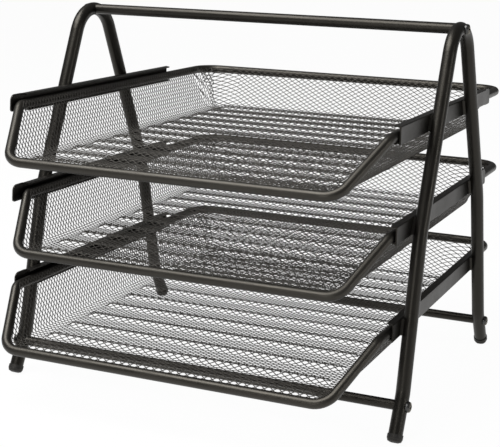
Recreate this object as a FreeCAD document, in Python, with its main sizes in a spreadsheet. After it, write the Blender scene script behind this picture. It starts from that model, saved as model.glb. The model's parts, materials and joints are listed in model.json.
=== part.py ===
"""Letter tray stand: two bent tube side frames, three bars, six rails and three sliding mesh trays.

All lengths are millimetres. +Z is up and the trays slide out towards -Y. The origin lies on the
surface the stand rests on, in the middle of the overall width and depth with the trays as stored.
"""
import FreeCAD
import Part
import Sketcher

import math
import os
import re

from FreeCAD import Placement, Rotation, Vector

# Driving dimensions: alias, value, meaning
SIZES = (
    ("tube_diameter", 10.0, "side frame tube, outside"),
    ("tube_wall", 1.0, "side frame tube wall"),
    ("foot_spread", 232.0, "between the leg axes at the surface"),
    ("kink_spread", 200.0, "between the leg axes where the feet splay out"),
    ("kink_height", 30.0, "height of that kink"),
    ("kink_radius", 24.0, "bend radius of the kink"),
    ("waist_spread", 151.4, "between the leg axes at the gentle bend halfway up"),
    ("waist_height", 135.0, "height of that bend"),
    ("waist_radius", 60.0, "its bend radius"),
    ("apex_height", 270.3, "tube axis at the top of the side frame"),
    ("apex_radius", 25.7, "bend radius over the apex"),
    ("stand_shift", -7.4, "middle of the feet along Y"),
    ("handle_diameter", 8.0, "bar across the top"),
    ("crossbar_diameter", 7.0, "bars near the floor"),
    ("crossbar_height", 23.0, "their axes above the surface"),
    ("screw_diameter", 4.0, "shank of the bar screws"),
    ("screw_length", 16.0, "shank below the head"),
    ("screw_clearance", 0.1, "around the shank"),
    ("head_diameter", 7.6, "pan head"),
    ("head_height", 2.8, "pan head"),
    ("head_bevel", 1.6, "edge of the pan head, cut back in two steps"),
    ("recess_length", 4.2, "arms of the cross recess, tip to tip"),
    ("recess_width", 0.9, "arms of the cross recess"),
    ("recess_depth", 1.3, "cross recess"),
    ("seat_depth", 0.6, "flat seat cut into the tube under a screw head"),
    ("seat_margin", 0.4, "seat beyond the head"),
    ("tap_spare", 1.5, "tapped hole beyond the screw's tip"),
    ("cap_diameter", 11.0, "foot cap"),
    ("cap_length", 5.6, "foot cap below the tube's end"),
    ("cap_bevel", 2.7, "edge of the cap's sole, cut back in two steps"),
    ("cap_flat", 0.6, "depth of the flat that the cap stands on"),
    ("plug_length", 9.0, "plug of the foot cap inside the tube"),
    ("plug_clearance", 0.1, "around the plug"),
    ("rail_gap", 0.3, "between rail and leg, filled by the weld"),
    ("weld_radius", 4.5, "round back of the weld between rail and leg"),
    ("weld_inset", 0.8, "weld short of the rail's long edges"),
    ("rail_sheet", 1.0, "sheet of the rails"),
    ("rail_height", 12.4, "outside height of the channel"),
    ("rail_bend", 0.8, "outside radius of the channel's long bends"),
    ("rail_square_end", 110.0, "web and top flange, from the middle to the square end"),
    ("rail_tongue_end", 121.0, "web, from the middle to the rounded end"),
    ("top_flange", 5.5, "width of the top flange"),
    ("top_flange_end", 108.0, "top flange, from the middle towards the rounded end"),
    ("flange_chamfer", 3.0, "top flange, inner corner cut back at the square end"),
    ("bottom_flange", 6.5, "width of the bottom flange that carries the rim"),
    ("bottom_flange_end", 106.5, "bottom flange, from the middle to either end"),
    ("tongue_round", 4.5, "upper corner of the rounded end"),
    ("tongue_foot_round", 2.0, "lower corner of the rounded end"),
    ("tongue_slant", 1.0, "lower corner of the rounded end beyond the upper one"),
    ("slide_clearance", 0.3, "between rim and bottom flange"),
    ("side_clearance", 0.7, "between rim and web"),
    ("bottom_rim_height", 73.5, "rim axis of the bottom tray"),
    ("tier_pitch", 66.7, "from one tray's rim to the next"),
    ("bottom_tray_place", -8.1, "middle of the bottom tray along Y"),
    ("middle_tray_place", 8.1, "middle of the middle tray along Y"),
    ("top_tray_place", 1.1, "middle of the top tray along Y"),
    ("rim_diameter", 7.0, "round bar of the rim"),
    ("tray_width", 283.0, "between the axes of the side rims"),
    ("tray_length", 333.8, "from the axis of the lip to that of the back rim"),
    ("tray_depth", 32.6, "from the rim down to the lip"),
    ("front_run", 42.4, "length of the sloping front, along Y"),
    ("side_lean", 19.3, "side wall, foot inside the rim"),
    ("back_lean", 11.0, "back wall, foot ahead of the rim"),
    ("rear_corner", 18.0, "radius of the rim's rear corners"),
    ("front_bend", 9.0, "radius where the rim turns down"),
    ("lip_corner", 15.0, "radius of the lip's corners"),
    ("wall_corner", 15.5, "radius between side and back wall"),
    ("mesh_thickness", 1.0, "flattened expanded metal"),
    ("fold_radius", 8.0, "fold between floor and walls, outside"),
    ("bead_count", 12.0, "stiffening beads across the floor"),
    ("bead_pitch", 27.0, "from bead to bead"),
    ("bead_first", 11.0, "from the lip's axis to the first bead"),
    ("bead_width", 10.0, "foot of a bead"),
    ("bead_crest", 1.5, "width of a bead's crest"),
    ("bead_height", 2.4, "crest above the floor"),
    ("bead_inset", 9.0, "end of a bead from the edge of the floor"),
    ("bead_lean", 1.2, "crest behind the middle of the foot"),
    ("opening_count", 6.0, "openings across the floor, a coarse form of the fine mesh"),
    ("opening_bar", 5.0, "sheet left between two openings"),
    ("opening_margin", 1.5, "sheet left between an opening and a bead"),
    ("wall_opening_height", 20.0, "openings in the walls"),
)
UP = Vector(0, 0, 1)
ALONG_X = Rotation(UP, Vector(1, 0, 0))
HALF_TURN = Rotation(UP, 180)
WORD = re.compile("[a-z_]+")
ALIASES = {alias for alias, number, meaning in SIZES}
ORIGIN_POINT = (-1, 1)
VERTICES = ("edge", "start", "end")
SKETCH_START, SKETCH_END = VERTICES.index("start"), VERTICES.index("end")
TOUCH = 0.01
HALFWAY = "(1 - sqrt(0.5))"
TIERS = ("bottom", "middle", "top")
TIER_HEIGHTS = ("bottom_rim_height", "bottom_rim_height + tier_pitch",
                "bottom_rim_height + 2 * tier_pitch")
RAIL_FACE = "(tray_width / 2 + rim_diameter / 2 + side_clearance + rail_sheet)"
FRAME_PLACE = f"({RAIL_FACE} + rail_gap + tube_diameter / 2)"
LIP_REACH = "(tray_width / 2 - side_lean)"
CROSSBAR_Y = "(foot_spread - (foot_spread - kink_spread) * crossbar_height / kink_height) / 2"
BAR_PLACES = (("handle", "0", "apex_height"), ("front", "-" + CROSSBAR_Y, "crossbar_height"),
              ("rear", CROSSBAR_Y, "crossbar_height"))
BAR_LABELS = {"handle": "handle_bar", "front": "front_crossbar", "rear": "rear_crossbar"}

pieces = []
doc = FreeCAD.newDocument("letter_tray")
sheet = doc.addObject("Spreadsheet::Sheet", "Sizes")
for row, (alias, number, meaning) in enumerate(SIZES, start=1):
    sheet.set(f"A{row}", meaning)
    sheet.set(f"B{row}", str(number))
    sheet.setAlias(f"B{row}", alias)
doc.recompute()


def size(alias):
    """The value of one driving dimension."""
    return float(sheet.get(alias))


def evaluate(expression):
    """A number from an expression over the sheet, as the bound objects see it."""
    return float(sheet.evalExpression(expression))


def tie(expression):
    """The same expression as an object outside the sheet has to write it."""
    return WORD.sub(lambda word: "Sizes." + word[0] if word[0] in ALIASES else word[0], expression)


def bind(thing, expressions):
    """Tie properties of an object to expressions over the sheet."""
    for name, expression in expressions.items():
        thing.setExpression(name, tie(expression))
    return thing


def add(kind, name, expressions=None, **properties):
    """A document object with its properties set and bound."""
    thing = doc.addObject(kind, name)
    for key, item in properties.items():
        setattr(thing, key, item)
    return bind(thing, expressions or {})


def add_feature(body, kind, name, expressions=None, **properties):
    """A feature of a body with its properties set and bound."""
    thing = body.newObject("PartDesign::" + kind, name)
    for key, item in properties.items():
        setattr(thing, key, item)
    return bind(thing, expressions or {})


def origin_part(body, role):
    """One of a body's own origin planes or axes."""
    return next(part for part in body.Origin.OriginFeatures if part.Role == role)


def add_outline(body, name, role, corners, lift="0"):
    """A closed sketch on an origin plane. Each corner is two expressions and, if round, a radius."""
    sketch = body.newObject("Sketcher::SketchObject", name)
    sketch.AttachmentSupport = (origin_part(body, role), "")
    sketch.MapMode = "FlatFace"
    bind(sketch, {"AttachmentOffset.Base.z": lift})
    spots = [Vector(evaluate(corner[0]), evaluate(corner[1]), 0) for corner in corners]
    rounding = [evaluate(corner[2]) if len(corner) > 2 else 0.0 for corner in corners]
    arcs = [corner_arc(spots[i - 1], spots[i], spots[(i + 1) % len(spots)], rounding[i])
            for i in range(len(spots))]
    for i, arc in enumerate(arcs):
        sketch.addGeometry(Part.LineSegment(arc["leave"], arcs[(i + 1) % len(arcs)]["enter"]), False)
    for i, (corner, arc) in enumerate(zip(corners, arcs)):
        line_in, line_out = (i - 1) % len(arcs), i
        if arc["curve"] is None:
            sketch.addConstraint(Sketcher.Constraint("Coincident", line_in, SKETCH_END,
                                                     line_out, SKETCH_START))
            fixed = line_out
        else:
            bow = sketch.addGeometry(arc["curve"], False)
            fixed = sketch.addGeometry(Part.Point(spots[i]), True)
            first, last = (SKETCH_START, SKETCH_END) if arc["left"] else (SKETCH_END, SKETCH_START)
            sketch.addConstraint(Sketcher.Constraint("Tangent", line_in, SKETCH_END, bow, first))
            sketch.addConstraint(Sketcher.Constraint("Tangent", bow, last, line_out, SKETCH_START))
            sketch.addConstraint(Sketcher.Constraint("PointOnObject", fixed, SKETCH_START, line_in))
            sketch.addConstraint(Sketcher.Constraint("PointOnObject", fixed, SKETCH_START, line_out))
            hold(sketch, f"corner_{i}_radius", corner[2], "Radius", bow)
        hold(sketch, f"corner_{i}_across", corner[0], "DistanceX", *ORIGIN_POINT, fixed, SKETCH_START)
        hold(sketch, f"corner_{i}_up", corner[1], "DistanceY", *ORIGIN_POINT, fixed, SKETCH_START)
    return sketch


def hold(sketch, name, expression, kind, *where):
    """A dimension of a sketch, named and bound to the sheet."""
    index = sketch.addConstraint(Sketcher.Constraint(kind, *where, evaluate(expression)))
    sketch.renameConstraint(index, name)
    sketch.setExpression("Constraints." + name, tie(expression))


def corner_arc(before, corner, after, radius):
    """Where a path leaves its straight run for a rounded corner, where it joins the next, and the arc."""
    if radius == 0:
        return {"enter": corner, "leave": corner, "curve": None, "left": True}
    ahead = (corner - before).normalize()
    onward = (after - corner).normalize()
    turn = ahead.getAngle(onward)
    reach = radius * math.tan(turn / 2)
    enter = corner - ahead * reach
    leave = corner + onward * reach
    middle = corner + (onward - ahead).normalize() * radius * (1 / math.cos(turn / 2) - 1)
    curve = Part.Arc(enter, middle, leave)
    return {"enter": enter, "leave": leave, "curve": curve, "left": ahead.cross(onward).z > 0}


def add_path(name, corners):
    """A line through corners, each a point and a bend radius, as straight runs and tangent arcs."""
    spots = [Vector(*corner[0]) for corner in corners]
    edges = []
    start = spots[0]
    for i in range(1, len(spots) - 1):
        arc = corner_arc(spots[i - 1], spots[i], spots[i + 1], corners[i][1])
        edges.append(Part.LineSegment(start, arc["enter"]).toShape())
        edges.append(arc["curve"].toShape())
        start = arc["leave"]
    edges.append(Part.LineSegment(start, spots[-1]).toShape())
    path = doc.addObject("Part::Feature", name)
    path.Shape = Part.Wire(edges)
    return path


def add_tube_form(name, path, radius, across="0"):
    """A solid of round section along a path, moved across by an expression."""
    first = path.Shape.Edges[0]
    start = first.valueAt(first.FirstParameter)
    heading = first.tangentAt(first.FirstParameter)
    section = add("Part::Circle", name + "_section", {"Radius": radius})
    section.Placement = Placement(start, Rotation(UP, heading))
    edges = [f"Edge{count}" for count in range(1, len(path.Shape.Edges) + 1)]
    return add("Part::Sweep", name, {"Placement.Base.x": across},
               Sections=[section], Spine=(path, edges), Solid=True, Frenet=False)


def add_cross_rod(name, radius, start, length, y, z):
    """A round rod along +X from a starting X."""
    rod = add("Part::Cylinder", name, {"Radius": radius, "Height": length})
    rod.Placement = Placement(Vector(0, 0, 0), ALONG_X)
    return bind(rod, {"Placement.Base.x": start, "Placement.Base.y": y, "Placement.Base.z": z})


def finish_piece(piece, label, x="0", y="0", z="0", turned=False):
    """Name a finished piece and put it in its place, turned half round the upright axis if asked."""
    piece.Label = label
    piece.Placement = Placement(Vector(0, 0, 0), HALF_TURN if turned else Rotation())
    bind(piece, {"Placement.Base.x": x, "Placement.Base.y": y, "Placement.Base.z": z})
    pieces.append(piece)
    return piece


def add_stand_forms():
    """The legs and the weld backs, as solids that shape the pieces of the stand."""
    seam = seam_height()
    foot = (0, size("foot_spread") / 2 - seam * foot_splay(), seam)
    kink = (0, size("kink_spread") / 2, size("kink_height"))
    waist = (0, size("waist_spread") / 2, size("waist_height"))
    rise = evaluate("apex_height - apex_radius - waist_height")
    lean = math.atan2(waist[1], rise) - math.asin(size("apex_radius") / math.hypot(waist[1], rise))
    apex = (0, 0, waist[2] + waist[1] / math.tan(lean))
    front = [((spot[0], -spot[1], spot[2]), bend) for spot, bend in (
        (foot, 0), (kink, size("kink_radius")), (waist, size("waist_radius")))]
    rear = [((spot[0], -spot[1], spot[2]), bend) for spot, bend in reversed(front)]
    path = add_path("leg_path", front + [(apex, size("apex_radius"))] + rear)
    return {"leg": add_tube_form("leg_form", path, "tube_diameter / 2"),
            "right": add_tube_form("right_leg_form", path, "tube_diameter / 2", FRAME_PLACE),
            "left": add_tube_form("left_leg_form", path, "tube_diameter / 2", "-" + FRAME_PLACE),
            "weld": add_tube_form("weld_form", path, "weld_radius", RAIL_FACE + " - rail_sheet")}


def foot_splay():
    """How far the feet run out for each millimetre that they drop."""
    return evaluate("(foot_spread - kink_spread) / 2 / kink_height")


def seam_height():
    """Height of the middle of the seam between tube and foot cap."""
    splay = math.atan(foot_splay())
    sole = evaluate("cap_diameter / 2 - cap_bevel")
    straight = evaluate("cap_length - cap_bevel")
    return straight * math.cos(splay) + sole * math.sin(splay) + evaluate("cap_bevel - cap_flat")


def make_side_frames(forms):
    """Bent tubes, bored for the foot caps and drilled for the bar screws, with a seat under each head.

    Between the plugs of the foot caps nothing opens or enters the tube, so it stays filled there.
    """
    cutters = [add_foot_bore("front", 1), add_foot_bore("rear", -1)]
    for name, y, z in BAR_PLACES:
        cutters.append(add_cross_rod(name + "_clearance_hole", "screw_diameter / 2 + screw_clearance",
                                     "-tube_diameter", "2 * tube_diameter", y, z))
        cutters.append(add_cross_rod(name + "_screw_seat", "head_diameter / 2 + seat_margin",
                                     "tube_diameter / 2 - seat_depth", "tube_diameter", y, z))
    tools = add("Part::MultiFuse", "side_frame_cuts", Shapes=cutters)
    for side, across, turned in (("right", FRAME_PLACE, False), ("left", "-" + FRAME_PLACE, True)):
        frame = add("Part::Cut", "frame_" + side, Base=forms["leg"], Tool=tools)
        finish_piece(frame, "side_frame_" + side, across, "stand_shift", turned=turned)


def add_foot_bore(depth, ahead):
    """The bore that takes the plug of a foot cap, ahead being 1 at the front foot and -1 at the rear."""
    bore = add("Part::Cylinder", depth + "_foot_bore", {"Radius": "tube_diameter / 2 - tube_wall",
                                                        "Height": "plug_length + plug_clearance"})
    seam = seam_height()
    bore.Placement = Placement(Vector(0, ahead * (seam * foot_splay() - size("foot_spread") / 2), seam),
                               Rotation(UP, Vector(0, ahead * foot_splay(), 1)))
    return bore


def make_bars(forms):
    """Round bars between the side frames, coped to the tubes and tapped for the screws."""
    tap_start = FRAME_PLACE + " + tube_diameter / 2 - seat_depth - screw_length - tap_spare"
    tap_length = "screw_length + tap_spare"
    for (name, y, z), diameter in zip(BAR_PLACES, ("handle_diameter", "crossbar_diameter",
                                                   "crossbar_diameter")):
        radius = "screw_diameter / 2 + screw_clearance"
        rod = add_cross_rod(name + "_rod", diameter + " / 2", "-" + FRAME_PLACE, "2 * " + FRAME_PLACE, y, z)
        taps = [add_cross_rod(name + "_tap_right", radius, tap_start, tap_length, y, z),
                add_cross_rod(name + "_tap_left", radius, f"-({tap_start}) - ({tap_length})",
                              tap_length, y, z)]
        tools = add("Part::MultiFuse", name + "_cuts", Shapes=[forms["left"], forms["right"]] + taps)
        finish_piece(add("Part::Cut", name + "_bar", Base=rod, Tool=tools), BAR_LABELS[name],
                     y="stand_shift")


def make_screw(name, turn):
    """A pan-head screw with a cross recess, its head towards +X or, turned, towards -X."""
    body = add("PartDesign::Body", name)
    profile = add_outline(body, name + "_profile", "XZ_Plane", (
        ("0", "-screw_length"), ("screw_diameter / 2", "-screw_length"), ("screw_diameter / 2", "0"),
        ("head_diameter / 2", "0"), ("head_diameter / 2", "head_height - head_bevel"),
        (f"head_diameter / 2 - {HALFWAY} * head_bevel", f"head_height - {HALFWAY} * head_bevel"),
        ("head_diameter / 2 - head_bevel", "head_height"), ("0", "head_height")))
    add_feature(body, "Revolution", name + "_turned", Profile=profile,
                ReferenceAxis=(profile, ["V_Axis"]), Angle=360)
    for arm, (across, along) in (("long", ("recess_length", "recess_width")),
                                 ("cross", ("recess_width", "recess_length"))):
        slot = add_rectangle(body, f"{name}_{arm}_slot", f"-({across}) / 2", f"-({along}) / 2",
                             f"({across}) / 2", f"({along}) / 2", "head_height")
        add_feature(body, "Pocket", f"{name}_{arm}_recess", {"Length": "recess_depth"}, Profile=slot)
    body.Placement = Placement(Vector(0, 0, 0), Rotation(UP, Vector(1 if turn else -1, 0, 0)))
    return body


def make_screws():
    """Two screws for each bar, one through each side frame."""
    seat = f"({FRAME_PLACE} + tube_diameter / 2 - seat_depth)"
    for name, y, z in BAR_PLACES:
        pair = []
        for side, sign in (("right", ""), ("left", "-")):
            screw = make_screw(f"{name}_screw_{side}", side == "right")
            pair.append(bind(screw, {"Placement.Base.x": sign + seat, "Placement.Base.y": y,
                                     "Placement.Base.z": z}))
        finish_piece(add("Part::Compound", name + "_screw_pair", Links=pair), BAR_LABELS[name] + "_screws",
                     y="stand_shift")


def make_foot_caps():
    """Caps with a plug inside the tube and a bevelled sole, cut flat where they stand."""
    cap = add("PartDesign::Body", "cap_form")
    profile = add_outline(cap, "cap_profile", "XZ_Plane", (
        ("0", "-cap_length"), ("cap_diameter / 2 - cap_bevel", "-cap_length"),
        (f"cap_diameter / 2 - {HALFWAY} * cap_bevel", f"{HALFWAY} * cap_bevel - cap_length"),
        ("cap_diameter / 2", "cap_bevel - cap_length"), ("cap_diameter / 2", "0"),
        ("tube_diameter / 2 - tube_wall - plug_clearance", "0"),
        ("tube_diameter / 2 - tube_wall - plug_clearance", "plug_length"), ("0", "plug_length")))
    add_feature(cap, "Revolution", "cap_turned", Profile=profile, ReferenceAxis=(profile, ["V_Axis"]),
                Angle=360)
    seam = seam_height()
    cap.Placement = Placement(Vector(0, seam * foot_splay() - size("foot_spread") / 2, seam),
                              Rotation(UP, Vector(0, foot_splay(), 1)))
    ground = add("Part::Box", "ground_form", {"Length": "4 * cap_diameter", "Width": "foot_spread",
                 "Height": "2 * cap_length", "Placement.Base.x": "-2 * cap_diameter",
                 "Placement.Base.y": "-foot_spread", "Placement.Base.z": "-2 * cap_length"})
    for depth, turned in (("front", False), ("rear", True)):
        for side, sign in (("left", "-"), ("right", "")):
            piece = add("Part::Cut", f"cap_{depth}_{side}", Base=cap, Tool=ground)
            finish_piece(piece, f"foot_cap_{depth}_{side}", sign + FRAME_PLACE, "stand_shift", turned=turned)


def add_rectangle(body, name, left, low, right, high, lift):
    """A rectangle on a body's XY plane, lifted along Z."""
    return add_outline(body, name, "XY_Plane", ((left, low), (right, low), (right, high), (left, high)),
                       lift)


def make_rails(tier, height, forms):
    """The two rails of one tier: a folded channel with a rounded tongue, welded to both legs."""
    low = "(-rim_diameter / 2 - slide_clearance - rail_sheet)"
    high = f"({low} + rail_height)"
    body = add("PartDesign::Body", tier + "_rail_form")
    web = add_outline(body, tier + "_web_outline", "YZ_Plane", (
        ("-rail_square_end", low), ("top_flange_end", low), ("top_flange_end", high),
        ("-rail_square_end", high)), RAIL_FACE + " - rail_sheet")
    add_feature(body, "Pad", tier + "_web", {"Length": "rail_sheet"}, Profile=web)
    carrier = add_rectangle(body, tier + "_carrier_outline", RAIL_FACE + " - bottom_flange",
                            "-bottom_flange_end", RAIL_FACE, "bottom_flange_end", low)
    add_feature(body, "Pad", tier + "_carrier", {"Length": "rail_sheet"}, Profile=carrier)
    cover = add_outline(body, tier + "_cover_outline", "XY_Plane", (
        (RAIL_FACE + " - top_flange", "flange_chamfer - rail_square_end"), (RAIL_FACE, "-rail_square_end"),
        (RAIL_FACE, "top_flange_end"), (RAIL_FACE + " - top_flange", "top_flange_end")),
        high + " - rail_sheet")
    top = add_feature(body, "Pad", tier + "_cover", {"Length": "rail_sheet"}, Profile=cover)
    doc.recompute()
    face = evaluate(RAIL_FACE)
    bends = edges_where(top.Shape, lambda edge: edge.Length > size("rail_square_end")
                        and abs(edge.CenterOfMass.x - face) < TOUCH)
    add_feature(body, "Fillet", tier + "_folds", {"Radius": "rail_bend"}, Base=(top, bends))
    tongue = add_outline(body, tier + "_tongue_outline", "YZ_Plane", (
        ("top_flange_end", low), ("rail_tongue_end", low, "tongue_foot_round"),
        ("rail_tongue_end - tongue_slant", high, "tongue_round"), ("top_flange_end", high)),
        RAIL_FACE + " - rail_sheet")
    add_feature(body, "Pad", tier + "_tongue", {"Length": "rail_sheet"}, Profile=tongue)
    bind(body, {"Placement.Base.z": height})
    slab = add("Part::Box", tier + "_weld_slab", {
        "Length": "weld_radius", "Width": "kink_spread", "Height": "rail_height - 2 * weld_inset",
        "Placement.Base.x": RAIL_FACE + " - rail_gap", "Placement.Base.y": "-kink_spread / 2",
        "Placement.Base.z": f"{height} + {low} + weld_inset"})
    welds = add("Part::MultiCommon", tier + "_welds", Shapes=[slab, forms["weld"]])
    blank = add("Part::MultiFuse", tier + "_rail_blank", Shapes=[body, welds])
    for side, turned in (("left", True), ("right", False)):
        rail = add("Part::Cut", f"{tier}_rail_{side}", Base=blank, Tool=forms["right"])
        finish_piece(rail, f"rail_{tier}_{side}", y="stand_shift", turned=turned)


def edges_where(shape, test):
    """Names of the edges that pass a test."""
    return [f"Edge{count}" for count, edge in enumerate(shape.Edges, start=1) if test(edge)]


def faces_where(shape, test):
    """Names of the faces that pass a test."""
    return [f"Face{count}" for count, face in enumerate(shape.Faces, start=1) if test(face)]


def add_rim_form():
    """Both halves of the rim: back, side, turned down along the sloping front to the low lip."""
    width, length, depth = size("tray_width") / 2, size("tray_length") / 2, size("tray_depth")
    path = add_path("rim_path", (
        ((0, length, 0), 0),
        ((width, length, 0), size("rear_corner")),
        ((width, size("front_run") - length, 0), size("front_bend")),
        ((evaluate(LIP_REACH), -length, -depth), size("lip_corner")),
        ((0, -length, -depth), 0)))
    half = add_tube_form("rim_half", path, "rim_diameter / 2")
    other = add("Part::Mirroring", "rim_other_half", Source=half, Normal=(1, 0, 0))
    return [half, other]


def add_tub():
    """The folded sheet: floor, side walls and back wall, open above and at the sloping front."""
    body = add("PartDesign::Body", "tub")
    section = add_outline(body, "tub_section", "XZ_Plane", (
        ("-" + LIP_REACH, "-tray_depth"), (LIP_REACH, "-tray_depth"),
        ("tray_width / 2", "0"), ("-tray_width / 2", "0")))
    add_feature(body, "Pad", "tub_block", {"Length": "tray_length"}, Profile=section, SideType="Symmetric")
    slope = add_outline(body, "front_slope_outline", "YZ_Plane", (
        ("-tray_length / 2", "-tray_depth"), ("front_run - tray_length / 2", "0"),
        ("front_run - tray_length / 2", "tray_depth"), ("-tray_length / 2 - tray_depth", "tray_depth"),
        ("-tray_length / 2 - tray_depth", "-tray_depth")))
    add_feature(body, "Pocket", "front_slope", {"Length": "tray_width + tray_depth"}, Profile=slope,
                SideType="Symmetric")
    lean = add_outline(body, "back_lean_outline", "YZ_Plane", (
        ("tray_length / 2 - back_lean", "-tray_depth"), ("tray_length / 2 + tray_depth", "-tray_depth"),
        ("tray_length / 2 + tray_depth", "tray_depth"), ("tray_length / 2", "tray_depth"),
        ("tray_length / 2", "0")))
    block = add_feature(body, "Pocket", "back_slope", {"Length": "tray_width + tray_depth"}, Profile=lean,
                        SideType="Symmetric")
    doc.recompute()
    depth, front = size("tray_depth"), -size("tray_length") / 2
    corners = edges_where(block.Shape, lambda edge: edge.BoundBox.ZLength > depth - TOUCH
                          and edge.BoundBox.YMax > -front - TOUCH)
    rounded = add_feature(body, "Fillet", "tub_corners", {"Radius": "wall_corner"}, Base=(block, corners))
    doc.recompute()
    folds = edges_where(rounded.Shape, lambda edge: edge.BoundBox.ZMax < TOUCH - depth
                        and edge.BoundBox.YMax > front + TOUCH)
    folded = add_feature(body, "Fillet", "tub_folds", {"Radius": "fold_radius"}, Base=(rounded, folds))
    doc.recompute()
    open_faces = faces_where(folded.Shape, lambda face: face.BoundBox.ZMin > -TOUCH
                             or face.BoundBox.YMax < front + size("front_run") + TOUCH)
    add_feature(body, "Thickness", "tub_sheet", {"Value": "mesh_thickness"}, Base=(folded, open_faces),
                Reversed=True)
    add_beads(body)
    return body


def add_beads(body):
    """Hipped beads pressed up from the floor, hollow below, repeated along the floor."""
    first = "(bead_first - tray_length / 2)"
    reach = f"({LIP_REACH} - bead_inset)"
    crest = f"({LIP_REACH} - bead_inset - (bead_width - bead_crest) / 2)"
    originals = []
    for name, kind, drop in (("bead", "AdditiveWedge", "0"), ("bead_hollow", "SubtractiveWedge",
                                                              "mesh_thickness")):
        wedge = add_feature(body, kind, name, {
            "Xmin": "-" + reach, "Xmax": reach, "X2min": "-" + crest, "X2max": crest,
            "Ymin": f"-tray_depth - {drop}", "Ymax": f"mesh_thickness + bead_height - tray_depth - {drop}",
            "Zmin": f"-{first} - bead_width / 2", "Zmax": f"bead_width / 2 - {first}",
            "Z2min": f"-{first} - bead_lean - bead_crest / 2",
            "Z2max": f"bead_crest / 2 - {first} - bead_lean"})
        wedge.Placement = Placement(Vector(0, 0, 0), Rotation(Vector(1, 0, 0), 90))
        originals.append(wedge)
    pattern = add_feature(body, "LinearPattern", "beads", Originals=originals)
    pattern.Direction = (origin_part(body, "Y_Axis"), [""])
    bind(pattern, {"Length": "bead_pitch * (bead_count - 1)", "Occurrences": "bead_count"})
    body.Tip = pattern


def add_opening_form():
    """Blocks that open the sheet between the beads, through both side walls and through the back wall."""
    length, depth = size("tray_length"), size("tray_depth")
    reach = evaluate(LIP_REACH + " - bead_inset")
    pitch = 2 * reach / size("opening_count")
    across = pitch - size("opening_bar")
    along = evaluate("bead_pitch - bead_width - 2 * opening_margin")
    beside = evaluate("bead_pitch - opening_bar")
    tall = size("wall_opening_height")
    columns = [(column + 0.5) * pitch - reach for column in range(int(size("opening_count")))]
    rows = [evaluate("bead_first - tray_length / 2") + (row + 0.5) * size("bead_pitch")
            for row in range(int(size("bead_count")) - 1)]
    blocks = [Part.makeBox(across, along, depth, Vector(x - across / 2, y - along / 2, -1.5 * depth))
              for x in columns for y in rows]
    blocks += [Part.makeBox(2 * length, beside, tall, Vector(-length, y - beside / 2, -(depth + tall) / 2))
               for y in rows if y > size("front_run") - length / 2]
    blocks += [Part.makeBox(across, length, tall, Vector(x - across / 2, rows[-1], -(depth + tall) / 2))
               for x in columns]
    form = doc.addObject("Part::Feature", "opening_form")
    form.Shape = Part.makeCompound(blocks)
    return form


def make_trays():
    """Three equal trays: a rim of round bar, and the basket that fits against it."""
    halves = add_rim_form()
    rim_form = add("Part::MultiFuse", "rim_form", Shapes=halves, Refine=True)
    openings = add_opening_form()
    sheet_form = add("Part::Cut", "open_tub", Base=add_tub(), Tool=openings)
    for tier, height in zip(TIERS, TIER_HEIGHTS):
        place = tier + "_tray_place"
        rim = add("Part::MultiFuse", tier + "_rim_loop", Shapes=halves, Refine=True)
        finish_piece(rim, tier + "_tray_rim", y=place, z=height)
        basket = add("Part::Cut", tier + "_basket_sheet", Base=sheet_form, Tool=rim_form)
        finish_piece(basket, tier + "_tray_basket", y=place, z=height)


def check(thing):
    """Stop if an object of the document failed."""
    if "Invalid" in thing.State or "Error" in thing.State:
        raise RuntimeError(f"{thing.Label} failed: {thing.State}")


def write_pieces():
    """Check every object and write each piece to its own file."""
    doc.recompute()
    for thing in doc.Objects:
        check(thing)
    os.makedirs("parts", exist_ok=True)
    for piece in pieces:
        shape = piece.Shape
        if shape.isNull() or not shape.isValid() or not shape.Solids:
            raise RuntimeError(f"{piece.Label} has no valid solid")
        shape.exportStep(f"parts/{piece.Label}.step")
        box = shape.BoundBox
        print(f"{piece.Label}: {len(shape.Solids)} solid, {shape.Volume:.0f} mm3, "
              f"x {box.XMin:.1f} {box.XMax:.1f}, y {box.YMin:.1f} {box.YMax:.1f}, "
              f"z {box.ZMin:.1f} {box.ZMax:.1f}")


stand_forms = add_stand_forms()
make_side_frames(stand_forms)
make_bars(stand_forms)
make_screws()
make_foot_caps()
for tier_name, tier_height in zip(TIERS, TIER_HEIGHTS):
    make_rails(tier_name, tier_height, stand_forms)
make_trays()
write_pieces()
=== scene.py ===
"""Looks of the letter tray: powder coated frame, rails and rims, and baskets of real expanded metal.

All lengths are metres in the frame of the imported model. +Z is up and the trays slide out towards -Y.
"""

import json
import math

import bpy
import numpy as np
from mathutils import Matrix, Vector


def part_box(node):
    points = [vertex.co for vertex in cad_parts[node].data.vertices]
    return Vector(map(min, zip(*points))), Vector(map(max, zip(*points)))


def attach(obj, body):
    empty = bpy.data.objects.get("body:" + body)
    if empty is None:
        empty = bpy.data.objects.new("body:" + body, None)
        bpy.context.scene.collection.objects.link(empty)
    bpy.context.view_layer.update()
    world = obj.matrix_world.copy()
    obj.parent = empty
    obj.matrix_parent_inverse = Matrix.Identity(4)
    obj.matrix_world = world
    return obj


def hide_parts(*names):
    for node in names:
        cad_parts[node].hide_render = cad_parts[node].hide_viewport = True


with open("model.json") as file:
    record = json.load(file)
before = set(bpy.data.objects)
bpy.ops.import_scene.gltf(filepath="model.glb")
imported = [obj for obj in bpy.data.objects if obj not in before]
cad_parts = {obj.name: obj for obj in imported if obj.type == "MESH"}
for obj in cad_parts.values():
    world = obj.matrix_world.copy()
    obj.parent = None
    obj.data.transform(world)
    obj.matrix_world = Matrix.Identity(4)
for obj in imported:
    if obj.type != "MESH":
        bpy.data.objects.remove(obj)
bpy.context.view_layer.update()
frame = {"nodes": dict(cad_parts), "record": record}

# Trays
TIERS = ("bottom", "middle", "top")
RIM_RADIUS = 0.0035
REAR_CORNER = 0.018  # radius of the rim's axis
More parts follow.
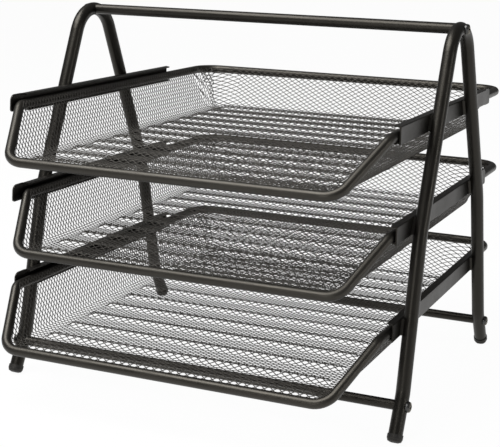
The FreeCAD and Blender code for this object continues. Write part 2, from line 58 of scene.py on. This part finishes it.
FRONT_RUN = 0.0424  # of the sloping front, along Y
LIP_WIDTH = 0.2444  # between the corners that floor and side walls would make
BACK_LEAN = 0.011  # from the back wall's foot to the rim, along Y
FLOOR_CORNER = 0.010
APRON_RADIUS = 0.034
APRON_RISE = math.radians(15)
FOLD_RADIUS = 0.004
APRON_LENGTH = APRON_RADIUS * APRON_RISE
APRON_OUT = (APRON_RADIUS - FOLD_RADIUS) * math.sin(APRON_RISE)
APRON_UP = (APRON_RADIUS - FOLD_RADIUS) * (1 - math.cos(APRON_RISE))
BEADS = 12
BEAD_FIRST = 0.011  # from the lip's axis
BEAD_PITCH = 0.027
BEAD_WIDTH = 0.0105
BEAD_HEIGHT = 0.0029
BEAD_LEAN = 0.0012
BEAD_INSET = 0.009
BEAD_HIP = 0.006  # sloping end
NEARLY_NONE = 1e-6  # keeps divisions away from zero

# Expanded metal
LONG_WAY = 0.0063
SHORT_WAY = 0.00357
HALF_LONG, HALF_SHORT = LONG_WAY / 2, SHORT_WAY / 2
STRAND = 0.0005
NET_THICKNESS = 0.0003
HUG_RADIUS = RIM_RADIUS + NET_THICKNESS / 2
WRAP_ANGLE = math.radians(28)
SIDE_DRIFT = 0.34  # lean of the lattice in the side walls
BACK_DRIFT = 0.12  # and in the back wall
SIDE_RUN = 0.044  # of side sheet round a whole rear corner
BACK_RUN = 0.025  # and of back sheet
SEAM_SHARE = 0.35  # of the corner, from the side to the seam
CORNER_OVERLAP = 0.003
PLEATS = 9
PLEAT_DEPTH = 0.0008
PLEAT_CLIMB = 0.03  # way up the wall over which pleats and overlap grow
SPARE_CELLS = 3  # of the lattice, past the edges of a sheet
NORMAL_STEP = 1e-5  # for the direction of a sheet

# Camera, fitted to the photograph
CAMERA_PLACE = Vector((0.3831, -0.8561, 0.3362))
CAMERA_YAW = math.radians(21.73)
CAMERA_PITCH = math.radians(11.45)
CAMERA_ROLL = math.radians(1.52)
IMAGE_WIDTH, IMAGE_HEIGHT = 500, 447
FOCAL_PIXELS = 1219.3
CENTRE_PIXEL = (316.3, 177.8)
SENSOR = 36.0

# Coats
BLACK = (0.003, 0.0028, 0.0025, 1.0)
LIGHT_BLACK = (0.007, 0.0065, 0.006, 1)
SHEEN = 0.36
RIM_SHEEN = 0.55
SHEEN_TINT = (1.0, 0.93, 0.80, 1.0)
COATS = (
    # slot, dark and light colour, roughness, scale and depth of the grain, sheen
    ("frame_paint", BLACK, LIGHT_BLACK, 0.36, 900.0, 0.0002, SHEEN),
    ("rail_paint", BLACK, LIGHT_BLACK, 0.38, 900.0, 0.0002, SHEEN),
    ("rim_paint", BLACK, (0.008, 0.0074, 0.0067, 1), 0.41, 1000.0, 0.00015, RIM_SHEEN),
    ("mesh_paint", (0.022, 0.0208, 0.0193, 1), (0.05, 0.047, 0.0435, 1), 0.42, 1400.0, 0.0001, SHEEN),
    ("cap_plastic", (0.013, 0.013, 0.0135, 1), (0.019, 0.019, 0.0195, 1), 0.55, 2200.0, 0.0001, SHEEN),
)
CLOUD_SCALE, CLOUD_DETAIL, CLOUD_ROUGHNESS = 38.0, 4.0, 0.6
GLOSSIER, DULLER = 0.05, 0.06
PEEL_DETAIL, PEEL_STRENGTH = 2.0, 0.35
NOISE_LOW, NOISE_HIGH = 0.3, 0.7

# Blackened steel
STEEL = (0.07, 0.07, 0.07, 1)
STEEL_DARK, STEEL_LIGHT = (0.05, 0.05, 0.05, 1), (0.11, 0.11, 0.108, 1)
STEEL_METALLIC, STEEL_ROUGHNESS = 0.85, 0.32
STEEL_GLOSSY, STEEL_DULL = 0.26, 0.42
GRIT_SCALE, GRIT_DETAIL = 1500.0, 3.0

# Sockets of a mix node when it mixes colours
MIX_FACTOR, MIX_FROM, MIX_TO, MIX_RESULT = 0, 6, 7, 2

# Studio
GROUND_REACH = 30.0
GROUND_COLOR = (0.86, 0.86, 0.86, 1)
GROUND_GLOW = 0.97  # share of plain white where the ground is seen
SKY_STRENGTH = 0.14
LAMPS = (
    # name, place, target, width, height, power
    ("key", (-0.5, -0.55, 1.48), (0, 0, 0.15), 1.4, 0.9, 34),
    ("front", (-0.1, -1.9, 0.6), (0, 0, 0.2), 0.35, 0.6, 5),
    ("side", (1.6, -0.25, 0.55), (0, 0, 0.2), 0.3, 0.6, 3.5),
)


def new_material(name, color, roughness, sheen):
    """A node material with one principled surface."""
    material = bpy.data.materials.new(name)
    material.use_nodes = True
    shader = material.node_tree.nodes["Principled BSDF"]
    shader.inputs["Base Color"].default_value = color
    shader.inputs["Roughness"].default_value = roughness
    shader.inputs["Specular IOR Level"].default_value = sheen
    shader.inputs["Specular Tint"].default_value = SHEEN_TINT
    return material, shader


def add_node(material, kind, **settings):
    """A node in a material, with sockets and properties set by name."""
    node = material.node_tree.nodes.new(kind)
    for key, value in settings.items():
        if key in node.inputs.keys():
            node.inputs[key].default_value = value
        else:
            setattr(node, key, value)
    return node


def link(material, source, target):
    """Join two sockets."""
    material.node_tree.links.new(source, target)


def object_noise(material, scale, detail, roughness=0.5):
    """Noise fixed to the object's own coordinates."""
    place = add_node(material, "ShaderNodeTexCoord")
    noise = add_node(material, "ShaderNodeTexNoise", Scale=scale, Detail=detail, Roughness=roughness)
    link(material, place.outputs["Object"], noise.inputs["Vector"])
    return noise


def spread(material, noise, low, high):
    """A noise turned into numbers between low and high."""
    band = add_node(material, "ShaderNodeMapRange")
    band.inputs["From Min"].default_value = NOISE_LOW
    band.inputs["From Max"].default_value = NOISE_HIGH
    band.inputs["To Min"].default_value = low
    band.inputs["To Max"].default_value = high
    link(material, noise.outputs["Fac"], band.inputs["Value"])
    return band.outputs["Result"]


def tint(material, noise, dark, light):
    """A noise turned into a colour between two."""
    mix = add_node(material, "ShaderNodeMix", data_type="RGBA")
    mix.inputs[MIX_FROM].default_value = dark
    mix.inputs[MIX_TO].default_value = light
    link(material, spread(material, noise, 0.0, 1.0), mix.inputs[MIX_FACTOR])
    return mix.outputs[MIX_RESULT]


def powder_coat(name, dark, light, roughness, grain, depth, sheen):
    """Sprayed and baked coat: orange peel, uneven gloss and slightly uneven black."""
    material, shader = new_material(name, dark, roughness, sheen)
    cloud = object_noise(material, CLOUD_SCALE, CLOUD_DETAIL, CLOUD_ROUGHNESS)
    peel = object_noise(material, grain, PEEL_DETAIL)
    link(material, tint(material, cloud, dark, light), shader.inputs["Base Color"])
    gloss = spread(material, cloud, roughness - GLOSSIER, roughness + DULLER)
    link(material, gloss, shader.inputs["Roughness"])
    bump = add_node(material, "ShaderNodeBump", Strength=PEEL_STRENGTH, Distance=depth)
    link(material, peel.outputs["Fac"], bump.inputs["Height"])
    link(material, bump.outputs["Normal"], shader.inputs["Normal"])
    return material


def blackened_steel(name):
    """Dark metal with a fine grit."""
    material, shader = new_material(name, STEEL, STEEL_ROUGHNESS, SHEEN)
    shader.inputs["Metallic"].default_value = STEEL_METALLIC
    grit = object_noise(material, GRIT_SCALE, GRIT_DETAIL)
    link(material, spread(material, grit, STEEL_GLOSSY, STEEL_DULL), shader.inputs["Roughness"])
    link(material, tint(material, grit, STEEL_DARK, STEEL_LIGHT), shader.inputs["Base Color"])
    return material


def make_materials():
    """One material for each slot of the record."""
    paint = {coat[0]: powder_coat(*coat) for coat in COATS}
    paint["screw_steel"] = blackened_steel("screw_steel")
    return paint


def dress_nodes(paint):
    """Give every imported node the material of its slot."""
    for part in frame["record"]["subparts"]:
        node = frame["nodes"][part["node"]]
        node.data.materials.clear()
        node.data.materials.append(paint[part["material_slot"]])


def tray_place(tier):
    """Middle of a tray along Y and the height of its rim axis."""
    low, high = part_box(tier + "_tray_rim")
    return (low.y + high.y) / 2, high.z - RIM_RADIUS


class TrayShape:
    """Sizes of a tray about the middle of its rim plane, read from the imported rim."""

    def __init__(self):
        low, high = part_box("top_tray_rim")
        self.half_width = (high.x - low.x) / 2 - RIM_RADIUS
        self.half_length = (high.y - low.y) / 2 - RIM_RADIUS
        self.depth = high.z - low.z - 2 * RIM_RADIUS
        self.floor_height = NET_THICKNESS / 2 - self.depth
        lean = math.atan2(self.half_width - LIP_WIDTH / 2, self.depth)
        back_lean = math.atan2(BACK_LEAN, self.depth)
        self.floor_side = LIP_WIDTH / 2 - fold_reach(lean)
        self.floor_back = self.half_length - BACK_LEAN - fold_reach(back_lean)
        self.corner_x = self.floor_side - FLOOR_CORNER
        self.corner_y = self.floor_back - FLOOR_CORNER
        self.rim_corner_x = self.half_width - REAR_CORNER
        self.rim_corner_y = self.half_length - REAR_CORNER


def fold_reach(lean):
    """From the start of the apron to the corner that floor and wall would make."""
    turn = math.pi / 2 - lean
    return APRON_OUT + FOLD_RADIUS * math.tan(turn / 2) - APRON_UP / math.tan(turn)


def rim_distance(tray, angle):
    """From the centre of the floor's corner out to the rim's axis, for angles from +X round to +Y."""
    across, along = np.cos(angle), np.sin(angle)
    to_side = (tray.half_width - tray.corner_x) / np.maximum(across, NEARLY_NONE)
    to_back = (tray.half_length - tray.corner_y) / np.maximum(along, NEARLY_NONE)
    shift_x = tray.corner_x - tray.rim_corner_x
    shift_y = tray.corner_y - tray.rim_corner_y
    middle = across * shift_x + along * shift_y
    inside = middle ** 2 - shift_x ** 2 - shift_y ** 2 + REAR_CORNER ** 2
    to_arc = -middle + np.sqrt(np.maximum(inside, 0))
    before = tray.corner_y + to_side * along < tray.rim_corner_y
    after = tray.corner_x + to_back * across < tray.rim_corner_x
    return np.where(before, to_side, np.where(after, to_back, to_arc))


def wall_turn(rise, reach):
    """How far the sheet turns up in its fold, and the length of the straight wall after it."""
    span = np.hypot(rise - FOLD_RADIUS, reach)
    turn = np.arccos(-(FOLD_RADIUS + HUG_RADIUS) / span) - np.arctan2(reach, rise - FOLD_RADIUS)
    start_out, start_up = FOLD_RADIUS * np.sin(turn), FOLD_RADIUS * (1 - np.cos(turn))
    straight = (reach - start_out) * np.cos(turn) + (rise - start_up) * np.sin(turn)
    return turn, straight


def wall_line(rise, reach, gone):
    """The sheet past the floor's edge: rising apron, fold, straight wall and wrap against the rim.

    rise and reach give the rim's axis above and beyond the edge, gone is how far along the sheet.
    Returns how far out and up the sheet is.
    """
    turn, straight = wall_turn(rise - APRON_UP, reach - APRON_OUT)
    bow = FOLD_RADIUS * (turn - APRON_RISE)
    in_apron = np.clip(gone, 0, APRON_LENGTH) / APRON_RADIUS
    past = np.maximum(gone - APRON_LENGTH, 0)
    in_fold = APRON_RISE + np.clip(past, 0, bow) / FOLD_RADIUS
    on_wall = np.clip(past - bow, 0, straight)
    over = np.clip(past - bow - straight, 0, None) / HUG_RADIUS
    out = APRON_RADIUS * np.sin(in_apron) + FOLD_RADIUS * (np.sin(in_fold) - math.sin(APRON_RISE))
    up = APRON_RADIUS * (1 - np.cos(in_apron)) + FOLD_RADIUS * (math.cos(APRON_RISE) - np.cos(in_fold))
    out = out + on_wall * np.cos(turn)
    up = up + on_wall * np.sin(turn)
    out = out + HUG_RADIUS * (np.sin(turn) - np.sin(turn - over))
    up = up + HUG_RADIUS * (np.cos(turn - over) - np.cos(turn))
    return out, up


def wall_length(rise, reach):
    """Length of the sheet from the floor's edge to the end of its wrap."""
    turn, straight = wall_turn(rise - APRON_UP, reach - APRON_OUT)
    folded = APRON_LENGTH + FOLD_RADIUS * (turn - APRON_RISE)
    return folded + straight + HUG_RADIUS * WRAP_ANGLE


def smooth(share):
    """Eased step from 0 to 1."""
    share = np.clip(share, 0, 1)
    return share * share * (3 - 2 * share)


def bead_lift(tray, across, along):
    """How far the pressed beads lift the floor."""
    lift = np.zeros_like(across)
    end = LIP_WIDTH / 2 - BEAD_INSET
    hip = smooth((end - np.abs(across)) / BEAD_HIP)
    for number in range(BEADS):
        middle = BEAD_FIRST + number * BEAD_PITCH - tray.half_length
        offset = along - middle
        front = smooth((offset + BEAD_WIDTH / 2) / (BEAD_WIDTH / 2 + BEAD_LEAN))
        back = smooth((BEAD_WIDTH / 2 - offset) / (BEAD_WIDTH / 2 - BEAD_LEAN))
        lift = np.maximum(lift, BEAD_HEIGHT * hip * np.minimum(front, back))
    return lift


def place_floor(tray, u, v):
    """Flat sheet coordinates of the floor to a point of the tray."""
    return np.stack([u, v, tray.floor_height + bead_lift(tray, u, v)], -1)


def place_back(tray, u, v):
    """The same for the back wall, which runs on round most of both rear corners."""
    turned = np.clip((np.abs(u) - tray.corner_x) / BACK_RUN, 0, 1)
    angle = (1 - turned) * math.pi / 2
    reach = rim_distance(tray, angle) - FLOOR_CORNER
    out, up = wall_line(-tray.floor_height, reach, np.maximum(v - tray.floor_back, 0))
    radius = FLOOR_CORNER + out - np.maximum(tray.floor_back - v, 0)
    x = np.minimum(np.abs(u), tray.corner_x) + radius * np.cos(angle)
    y = tray.corner_y + radius * np.sin(angle)
    return np.stack([np.sign(u) * x, y, tray.floor_height + up + bead_lift(tray, u, v)], -1)


def place_side(tray, u, v):
    """The same for the right side wall, which is pleated where it meets the back wall's sheet."""
    gone = np.maximum(u - tray.floor_side, 0)
    turned = np.clip((v - tray.corner_y) / SIDE_RUN, 0, 1)
    angle = turned * math.pi / 2
    reach = rim_distance(tray, angle) - FLOOR_CORNER
    out, up = wall_line(-tray.floor_height, reach, gone)
    ripple = np.sin(turned * PLEATS * 2 * math.pi)
    out = out - PLEAT_DEPTH * (1 + ripple) * smooth(gone / PLEAT_CLIMB) * (turned > 0)
    radius = FLOOR_CORNER + out - np.maximum(tray.floor_side - u, 0)
    x = tray.corner_x + radius * np.cos(angle)
    y = np.minimum(v, tray.corner_y) + radius * np.sin(angle)
    return np.stack([x, y, tray.floor_height + up], -1)


def net(name, place, columns, rows, keep, allow):
    """Expanded metal as one closed mesh.

    Holes lie on a lattice of half pitches, in columns and rows. keep says which are open, allow which
    of their neighbours may bound a strand, and place lifts the flat sheet into the tray.
    """
    inner = HALF_LONG * HALF_SHORT / math.hypot(HALF_LONG, HALF_SHORT)
    share = 1 - STRAND / 2 / inner
    reach_long, reach_short = HALF_LONG * share, HALF_SHORT * share
    column, row = np.meshgrid(np.arange(*columns), np.arange(*rows), indexing="ij")
    real = (column + row) % 2 == 0
    u, v = column * HALF_LONG, row * HALF_SHORT
    kept = real & keep(u, v)
    known = kept | (real & allow(u, v))
    number = np.arange(column.size).reshape(column.shape)

    def shifted(table, across, along):
        """A table read some places over, and zero where that is past its edge."""
        moved = np.zeros_like(table)
        width, height = table.shape
        here = (slice(max(0, -across), width - max(0, across)),
                slice(max(0, -along), height - max(0, along)))
        there = (slice(max(0, across), width - max(0, -across)),
                 slice(max(0, along), height - max(0, -along)))
        moved[here] = table[there]
        return moved

    left, low, right, high = (number * 4 + corner for corner in range(4))
    quads = []
    for across, corners in ((1, (right, low, left, high)), (-1, (high, right, low, left))):
        other_kept, other_known = shifted(kept, across, 1), shifted(known, across, 1)
        made = known & other_known & (kept | other_kept)
        own = corners[0], corners[3]
        other = shifted(corners[1], across, 1), shifted(corners[2], across, 1)
        quads.append(np.stack([own[0], other[0], other[1], own[1]], -1)[made])
    around = [(0, 0, right), (1, -1, high), (2, 0, left), (1, 1, low)]
    all_known = np.ones_like(known)
    any_kept = np.zeros_like(kept)
    for across, along, corner in around:
        all_known &= shifted(known, across, along)
        any_kept |= shifted(kept, across, along)
    knots = np.stack([shifted(corner, across, along) for across, along, corner in around], -1)
    quads.append(knots[all_known & any_kept])
    faces = np.concatenate(quads)

    starts, ends = faces.ravel(), np.roll(faces, -1, axis=1).ravel()
    count = column.size * 4
    pairs = set((ends * count + starts).tolist())
    free = np.array([pair not in pairs for pair in (starts * count + ends).tolist()])
    used, packed = np.unique(faces, return_inverse=True)
    faces = packed.reshape(faces.shape)
    starts, ends = faces.ravel()[free], np.roll(faces, -1, axis=1).ravel()[free]
    offsets = np.array([(-reach_long, 0), (0, -reach_short), (reach_long, 0), (0, reach_short)])
    flat_u = u.ravel()[used // 4] + offsets[used % 4, 0]
    flat_v = v.ravel()[used // 4] + offsets[used % 4, 1]
    middle = place(flat_u, flat_v)
    along_u = place(flat_u + NORMAL_STEP, flat_v) - place(flat_u - NORMAL_STEP, flat_v)
    along_v = place(flat_u, flat_v + NORMAL_STEP) - place(flat_u, flat_v - NORMAL_STEP)
    normal = np.cross(along_u, along_v)
    normal /= np.linalg.norm(normal, axis=1, keepdims=True)
    points = np.concatenate([middle + normal * NET_THICKNESS / 2, middle - normal * NET_THICKNESS / 2])
    below = len(used)
    sides = np.stack([starts, starts + below, ends + below, ends], -1)
    return name, points, np.concatenate([faces, faces[:, ::-1] + below, sides])


def mirrored(sheet, name):
    """The same sheet on the other side of the tray."""
    points = sheet[1] * np.array([-1, 1, 1])
    return name, points, sheet[2][:, ::-1]


def to_mesh(sheet):
    """A Blender mesh from points and quads."""
    name, points, faces = sheet
    mesh = bpy.data.meshes.new(name)
    mesh.vertices.add(len(points))
    mesh.vertices.foreach_set("co", points.astype(np.float32).ravel())
    mesh.loops.add(faces.size)
    mesh.loops.foreach_set("vertex_index", faces.astype(np.int32).ravel())
    mesh.polygons.add(len(faces))
    mesh.polygons.foreach_set("loop_start", np.arange(0, faces.size, 4, dtype=np.int32))
    mesh.update(calc_edges=True)
    mesh.validate()
    return mesh


def make_sheets():
    """Floor, back wall with most of both rear corners, and the two side walls."""
    tray = TrayShape()
    rise = -tray.floor_height
    back_end = tray.floor_back + wall_length(rise, tray.half_length - tray.floor_back)
    side_end = tray.floor_side + wall_length(rise, tray.half_width - tray.floor_side)
    back_side = tray.corner_x + BACK_RUN * (1 - SEAM_SHARE)
    side_back = tray.corner_y + SIDE_RUN * SEAM_SHARE
    split = (int(tray.floor_side / HALF_LONG) - 1) * HALF_LONG + HALF_LONG / 2
    seam = (int(tray.floor_back / HALF_SHORT) - 1) * HALF_SHORT + HALF_SHORT / 2

    def on_floor(u, v):
        """Which holes are in the floor, as far as its round rear corners."""
        beyond_x = np.maximum(np.abs(u) - tray.corner_x, 0)
        beyond_y = np.maximum(v - tray.corner_y, 0)
        floor = (v < tray.corner_y) & (np.abs(u) < split)
        corner = (v < tray.floor_back) & (np.hypot(beyond_x, beyond_y) < FLOOR_CORNER - HALF_SHORT)
        return (floor | (corner & (v >= tray.corner_y))) & (v > -tray.half_length) & (v < seam)

    def drift_back(u, v):
        """Way across the back wall, where the lattice leans over."""
        return u + BACK_DRIFT * np.maximum(v - tray.floor_back, 0)

    def on_back(u, v):
        """Which holes are in the back wall and its share of the corners."""
        across = np.abs(drift_back(u, v))
        low = np.where(across > tray.corner_x, tray.floor_back - HALF_SHORT, seam)
        return (across < back_side) & (v >= low) & (v < back_end)

    def front_edge(u):
        """Where the sloping front cuts the side wall off."""
        climb = side_end - tray.floor_side - RIM_RADIUS * WRAP_ANGLE
        height = np.clip((u - tray.floor_side) / climb, 0, 1)
        return FRONT_RUN * height - tray.half_length

    def drift_side(u, v):
        """Way along the side wall, where the lattice leans."""
        return v + SIDE_DRIFT * np.maximum(u - tray.floor_side, 0)

    def on_side(u, v):
        """Which holes are in the side wall, with an overlap past the seam that widens upwards."""
        along = drift_side(u, v)
        behind = along > front_edge(u)
        past = along > side_back
        tuck = (along - side_back) < CORNER_OVERLAP * (u - tray.floor_side) / PLEAT_CLIMB
        inner = np.where(along > tray.corner_y, tray.floor_side - HALF_SHORT, split)
        return behind & (u > inner) & (u < side_end) & (~past | tuck)

    def both_sides(reach, spare):
        """Columns out to a reach on both sides of the middle, and spare ones."""
        last = int(reach / HALF_LONG) + spare
        return -last, last + 1

    columns = both_sides(split, SPARE_CELLS)
    back_columns = both_sides(back_side, SPARE_CELLS + 1)
    first_row = -int(tray.half_length / HALF_SHORT) - SPARE_CELLS
    seam_row = int(seam / HALF_SHORT)
    floor = net("mesh_floor", lambda u, v: place_floor(tray, u, v), columns,
                (first_row, seam_row + SPARE_CELLS), on_floor, lambda u, v: v < seam + SHORT_WAY)
    back = net("mesh_back", lambda u, v: place_back(tray, drift_back(u, v), v), back_columns,
               (seam_row - SPARE_CELLS, int(back_end / HALF_SHORT) + SPARE_CELLS), on_back,
               lambda u, v: (v > seam - HALF_SHORT) & (v < back_end + HALF_SHORT))
    side_columns = (int(split / HALF_LONG) - SPARE_CELLS, int(side_end / HALF_LONG) + SPARE_CELLS)
    longest_drift = SIDE_DRIFT * (side_end - tray.floor_side)
    side_rows = (first_row - int(longest_drift / HALF_SHORT),
                 int((side_back + 2 * CORNER_OVERLAP) / HALF_SHORT) + SPARE_CELLS)
    right = net("mesh_side_right", lambda u, v: place_side(tray, u, drift_side(u, v)), side_columns,
                side_rows, on_side, lambda u, v: (u > split) & (u < side_end + HALF_LONG))
    return floor, back, right, mirrored(right, "mesh_side_left")


def make_baskets(paint):
    """Each tray's basket as sheets of expanded metal."""
    meshes = [to_mesh(sheet) for sheet in make_sheets()]
    for mesh in meshes:
        mesh.materials.append(paint["mesh_paint"])
    for tier in TIERS:
        middle, height = tray_place(tier)
        for mesh in meshes:
            piece = bpy.data.objects.new(f"{tier}_{mesh.name}", mesh)
            bpy.context.scene.collection.objects.link(piece)
            piece.location = (0, middle, height)
            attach(piece, tier + "_tray")
            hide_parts(tier + "_tray_basket")


def make_floor():
    """A plain white floor that reads as background and keeps the shadow."""
    mesh = bpy.data.meshes.new("ground")
    far = GROUND_REACH
    corners = [(-far, -far, 0), (far, -far, 0), (far, far, 0), (-far, far, 0)]
    mesh.from_pydata(corners, [], [(0, 1, 2, 3)])
    floor = bpy.data.objects.new("ground", mesh)
    bpy.context.scene.collection.objects.link(floor)
    material = bpy.data.materials.new("ground")
    material.use_nodes = True
    material.node_tree.nodes.clear()
    diffuse = add_node(material, "ShaderNodeBsdfDiffuse", Color=GROUND_COLOR)
    glow = add_node(material, "ShaderNodeEmission", Strength=1.0)
    mix = add_node(material, "ShaderNodeMixShader")
    link(material, seen_rays(material.node_tree, GROUND_GLOW), mix.inputs[0])
    link(material, diffuse.outputs[0], mix.inputs[1])
    link(material, glow.outputs[0], mix.inputs[2])
    output = add_node(material, "ShaderNodeOutputMaterial")
    link(material, mix.outputs[0], output.inputs["Surface"])
    mesh.materials.append(material)


def seen_rays(tree, share):
    """A share for camera, glossy and transmission rays, and 0 for the others."""
    path = tree.nodes.new("ShaderNodeLightPath")
    total = path.outputs["Is Camera Ray"]
    for name in ("Is Glossy Ray", "Is Transmission Ray"):
        either = tree.nodes.new("ShaderNodeMath")
        either.operation = "MAXIMUM"
        tree.links.new(total, either.inputs[0])
        tree.links.new(path.outputs[name], either.inputs[1])
        total = either.outputs[0]
    part = tree.nodes.new("ShaderNodeMath")
    part.operation = "MULTIPLY"
    part.inputs[1].default_value = share
    tree.links.new(total, part.inputs[0])
    return part.outputs[0]


def make_world():
    """An even, weak white light from all sides."""
    world = bpy.data.worlds.new("studio")
    bpy.context.scene.world = world
    world.use_nodes = True
    soft = world.node_tree.nodes["Background"]
    soft.inputs["Color"].default_value = (1, 1, 1, 1)
    soft.inputs["Strength"].default_value = SKY_STRENGTH


def add_lamp(name, place, target, width, height, power):
    """A soft rectangular lamp aimed at a point."""
    data = bpy.data.lights.new(name, "AREA")
    data.shape = "RECTANGLE"
    data.size, data.size_y = width, height
    data.energy = power
    lamp = bpy.data.objects.new(name, data)
    bpy.context.scene.collection.objects.link(lamp)
    lamp.location = place
    lamp.rotation_mode = "QUATERNION"
    lamp.rotation_quaternion = (Vector(target) - Vector(place)).to_track_quat("-Z", "Y")


def make_lamps():
    """A softbox high at the front left, a lower one in front and a weak one at the right."""
    for lamp in LAMPS:
        add_lamp(*lamp)


def make_camera():
    """The photograph's viewpoint."""
    data = bpy.data.cameras.new("camera")
    data.sensor_width = SENSOR
    data.lens = FOCAL_PIXELS / IMAGE_WIDTH * SENSOR
    data.shift_x = 0.5 - CENTRE_PIXEL[0] / IMAGE_WIDTH
    data.shift_y = (CENTRE_PIXEL[1] - IMAGE_HEIGHT / 2) / IMAGE_WIDTH
    camera = bpy.data.objects.new("camera", data)
    bpy.context.scene.collection.objects.link(camera)
    ahead = Vector((-math.sin(CAMERA_YAW) * math.cos(CAMERA_PITCH),
                    math.cos(CAMERA_YAW) * math.cos(CAMERA_PITCH), -math.sin(CAMERA_PITCH)))
    level = Vector((math.cos(CAMERA_YAW), math.sin(CAMERA_YAW), 0))
    above = level.cross(ahead)
    right = level * math.cos(CAMERA_ROLL) + above * math.sin(CAMERA_ROLL)
    top = above * math.cos(CAMERA_ROLL) - level * math.sin(CAMERA_ROLL)
    turn = Matrix((right, top, -ahead)).transposed()
    camera.matrix_world = Matrix.Translation(CAMERA_PLACE) @ turn.to_4x4()
    bpy.context.scene.camera = camera


make_camera()
materials = make_materials()
dress_nodes(materials)
make_baskets(materials)
make_floor()
make_world()
make_lamps()
bpy.context.scene.view_settings.view_transform = "Standard"
